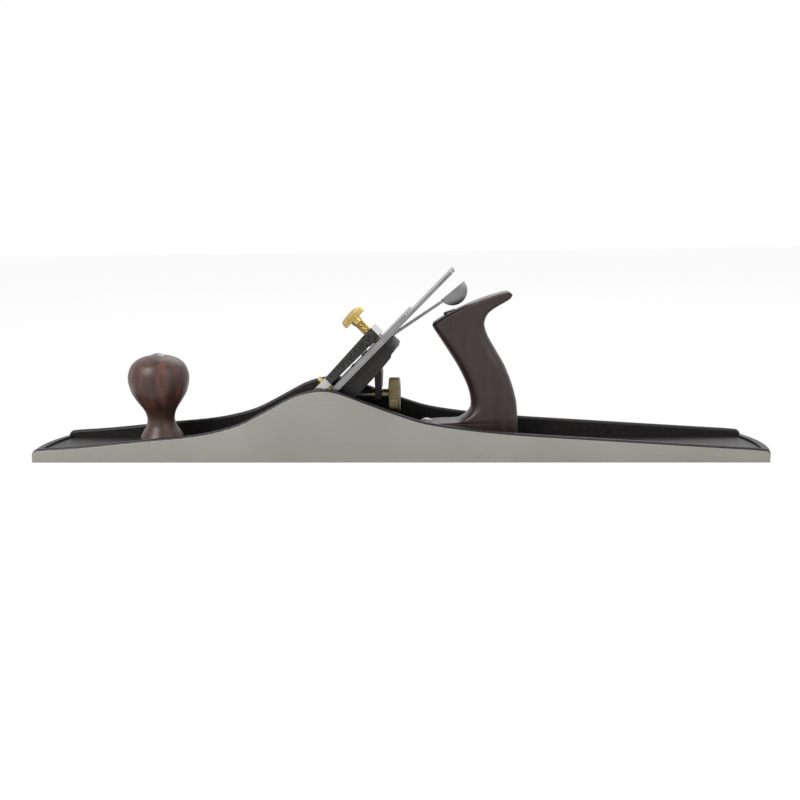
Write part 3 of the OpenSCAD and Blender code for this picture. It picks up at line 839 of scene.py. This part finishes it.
@dataclass
class Brass:
    """The two brass hand screws: the thumb screw of the lever cap and the depth nut."""

    thumb_s: float = 117.4
    thumb_r: float = 9.7
    stud_z: float = 44.8
    nut_r: float = 13.1

    def build(self, bright: Material, dull: Material) -> None:
        """Turns both, with their knurls and the thread of the thumb screw.

        Args:
            bright: Finish of the thumb screw.
            dull: Finish of the depth nut.
        """
        r = self.thumb_r
        angles = [math.pi * k / 20 for k in range(1, 10)]
        dome = [(31.8 + 2.7 * math.sin(a), (r - 0.3) * math.cos(a)) for a in angles]
        rows = [(4.5, 0), (4.5, 2.6), (4.9, 3.0), (6.5, 3.0)]
        rows += [(6.9, 3.9), (24.2, 3.9), (24.4, 4.3), (27.5, 4.3)]
        rows += [(27.5, r - 0.5), (27.9, r), (31.4, r), (31.8, r - 0.4)] + dome + [(34.5, 0)]
        place = on_bed() @ Matrix.Translation((self.thumb_s, 0, 0))
        Turned(
            "turned_thumb_screw", "thumb_screw", "thumb_screw", "brass", rows, place,
            knurl=(27.6, 31.7, 44, 0.5), thread=(7.0, 24.0, 1.25, 0.55), segments=384,
        ).build(bright)
        r = self.nut_r
        rows = [(-17.9, 2.85), (-17.9, 4.1), (-17.6, 4.35), (-15.1, 4.35), (-14.9, 4.1), (-14.9, 3.2)]
        rows += [(-9.5, 3.2), (-9.5, 4.1), (-9.3, 4.35), (-4.3, 4.35)]
        rows += [(-4.3, r - 0.7), (-3.7, r), (3.3, r), (3.9, r - 0.7)]
        rows += [(3.9, 9.0), (3.1, 8.2), (3.1, 0)]
        place = Matrix.Translation((0, 0, self.stud_z * MM)) @ Matrix.Rotation(math.radians(90), 4, "Y")
        place = place @ Matrix.Scale(MM, 4)
        Turned(
            "turned_depth_nut", "depth_nut", "depth_nut", "brass", rows, place,
            knurl=(-3.6, 3.2, 72, 0.5), segments=504,
        ).build(dull)


@dataclass
class Studio:
    """Camera of the photograph, pale floor, white backdrop and soft lamps."""

    camera_mm: tuple[float, float, float] = (41.279, -676.973, 161.478)
    yaw: float = 0.05525
    pitch: float = 0.17678
    roll: float = -0.01374
    focal_px: float = 895.214
    image_px: float = 800.0
    sensor: float = 36.0
    lamps: Sequence[tuple[tuple[float, float, float], float, float]] = (
        ((-1.0, -1.3, 1.4), 1.0, 32.0),
        ((1.3, -0.9, 1.1), 1.2, 8.0),
        ((0.2, 1.4, 1.5), 1.6, 14.0),
    )
    room: float = 0.45
    floor_glow: float = 0.93
    floor_half: float = 12.0

    def camera(self) -> None:
        """Stands the camera where the photograph was taken."""
        cy, sy = math.cos(self.yaw), math.sin(self.yaw)
        cp, sp = math.cos(self.pitch), math.sin(self.pitch)
        ahead = Vector((-sy * cp, cy * cp, -sp))
        level = Vector((cy, sy, 0))
        rise = Vector((-sy * sp, cy * sp, cp))
        right = level * math.cos(self.roll) + rise * math.sin(self.roll)
        up = rise * math.cos(self.roll) - level * math.sin(self.roll)
        data = bpy.data.cameras.new("camera")
        data.sensor_width = self.sensor
        data.lens = self.focal_px / self.image_px * self.sensor
        data.clip_start = 0.01
        seat = bpy.data.objects.new("camera", data)
        turn = Matrix((right, up, -ahead)).transposed().to_4x4()
        seat.matrix_world = Matrix.Translation(Vector(self.camera_mm) * MM) @ turn
        bpy.context.scene.collection.objects.link(seat)
        bpy.context.scene.camera = seat

    def light(self) -> None:
        """Hangs soft lamps round the object and a white world behind it."""
        for k, (place, size, power) in enumerate(self.lamps):
            data = bpy.data.lights.new(f"softbox_{k}", "AREA")
            data.size = size
            data.energy = power
            lamp = bpy.data.objects.new(f"softbox_{k}", data)
            lamp.location = place
            lamp.rotation_euler = (Vector((0, 0, 0.05)) - Vector(place)).to_track_quat("-Z", "Y").to_euler()
            bpy.context.scene.collection.objects.link(lamp)
        world = bpy.data.worlds.new("white_room")
        world.use_nodes = True
        tree = world.node_tree
        tree.nodes.clear()
        path = add_node(tree, "ShaderNodeLightPath")
        seen = path.outputs["Is Camera Ray"]
        for name in ("Is Glossy Ray", "Is Transmission Ray"):
            pair = {0: seen, 1: path.outputs[name]}
            seen = add_node(tree, "ShaderNodeMath", {"operation": "MAXIMUM"}, pair).outputs[0]
        room = add_node(tree, "ShaderNodeBackground", {"Color": linear("#ffffff"), "Strength": self.room})
        white = add_node(tree, "ShaderNodeBackground", {"Color": linear("#ffffff"), "Strength": 1.0})
        both = add_node(tree, "ShaderNodeMixShader", links={0: seen, 1: room.outputs[0], 2: white.outputs[0]})
        add_node(tree, "ShaderNodeOutputWorld", links={0: both.outputs[0]})
        bpy.context.scene.world = world
        bpy.context.scene.view_settings.view_transform = "Standard"

    def floor(self) -> None:
        """Lays a pale floor that shows white to the camera but keeps a soft shadow."""
        mesh = bmesh.new()
        bmesh.ops.create_grid(mesh, x_segments=1, y_segments=1, size=self.floor_half)
        material = bpy.data.materials.new("pale_floor")
        material.use_nodes = True
        tree = material.node_tree
        tree.nodes.clear()
        matt = add_node(tree, "ShaderNodeBsdfDiffuse", {"Color": linear("#f4f4f2")})
        glow = add_node(tree, "ShaderNodeEmission", {"Color": linear("#ffffff"), "Strength": 1.0})
        path = add_node(tree, "ShaderNodeLightPath")
        dim = {"operation": "MULTIPLY", 1: self.floor_glow}
        share = add_node(tree, "ShaderNodeMath", dim, {0: path.outputs["Is Camera Ray"]})
        shaders = {0: share.outputs[0], 1: matt.outputs[0], 2: glow.outputs[0]}
        both = add_node(tree, "ShaderNodeMixShader", links=shaders)
        add_node(tree, "ShaderNodeOutputMaterial", links={0: both.outputs[0]})
        to_object("floor", mesh, Matrix.Identity(4), material)


@dataclass
class Assembly:
    """A sub-assembly whose pieces keep their solids: the finish of each node."""

    name: str
    nodes: dict[str, str]

    def dress(self, frame: dict, finishes: dict[str, Material]) -> None:
        """Gives each node its finish.

        Args:
            frame: The loaded frame.
            finishes: Materials by name.
        """
        for node, finish in self.nodes.items():
            data = frame["nodes"][node].data
            data.materials.clear()
            data.materials.append(finishes[finish])
            LOG.info("%s: %s is finished in %s", self.name, node, finish)


def assemblies() -> list[Assembly]:
    """Lists the sub-assemblies with the finishes of their nodes.

    Returns:
        The sub-assemblies.
    """
    steel = "steel"
    return [
        Assembly("body", {"plane_body": "body"}),
        Assembly("knob", {"front_knob": "wood", "knob_bolt": steel, "knob_nut": steel}),
        Assembly(
            "tote", {"tote": "tote_wood", "tote_bolt": steel, "tote_nut": steel, "tote_toe_screw": steel}
        ),
        Assembly(
            "frog",
            {
                "frog": "enamel", "frog_screws": steel, "frog_washers": steel, "frog_adjust_screw": steel,
                "frog_clip": "enamel", "frog_clip_screw": steel,
            },
        ),
        Assembly(
            "depth_adjuster",
            {"yoke": "enamel", "yoke_pin": "dark_steel", "depth_stud": steel, "depth_nut": "dull_brass"},
        ),
        Assembly(
            "lateral_adjuster",
            {n: steel for n in ("lateral_lever", "lateral_rivet", "lateral_roller", "roller_rivet")},
        ),
        Assembly("cutter", {"blade": "blade", "cap_iron": "blade", "cap_iron_screw": steel}),
        Assembly(
            "lever_cap", {"lever_cap": "casting", "lever_cap_screw": "brass", "thumb_screw": "brass"}
        ),
    ]


def main() -> None:
    """Builds the plane piece by piece, and the studio around it."""
    logging.basicConfig(level=logging.INFO)
    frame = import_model()
    finishes = {
        "body": BodyFinish("ground_and_enamelled_iron").material(),
        "enamel": Enamel("black_enamel").material(),
        "wood": Wood("dark_varnished_wood").material(),
        "tote_wood": Wood("dark_varnished_wood_tote", "#1d1514", "#2c211f", "#3c2c28").material(),
        # In each Metal the third colour is the painted highlight on its sharp edges
        "steel": Metal("zinc_plated_steel").material(),
        "blade": Metal(
            "ground_tool_steel", "#8c8c8d", "#7f7f80", "#c4c4c4", 0.3, 0.6, 0.003
        ).material(),
        "casting": CapFinish("enamelled_casting_ground_bright").material(),
        "dark_steel": Metal("oiled_dark_steel", "#3a3939", "#2c2b2b", "#5c5b5b", 0.4).material(),
        "brass": Metal("polished_brass", "#c8b074", "#b19a5e", "#e6d9a6", 0.26).material(),
        "dull_brass": Metal("tarnished_brass", "#8b8064", "#756b50", "#b5a986", 0.38).material(),
    }
    for assembly in assemblies():
        assembly.dress(frame, finishes)
    Knob().build(finishes["wood"])
    Tote().build(finishes["tote_wood"])
    Brass().build(finishes["brass"], finishes["dull_brass"])
    studio = Studio()
    studio.camera()
    studio.light()
    studio.floor()


if __name__ == "__main__":
    main()
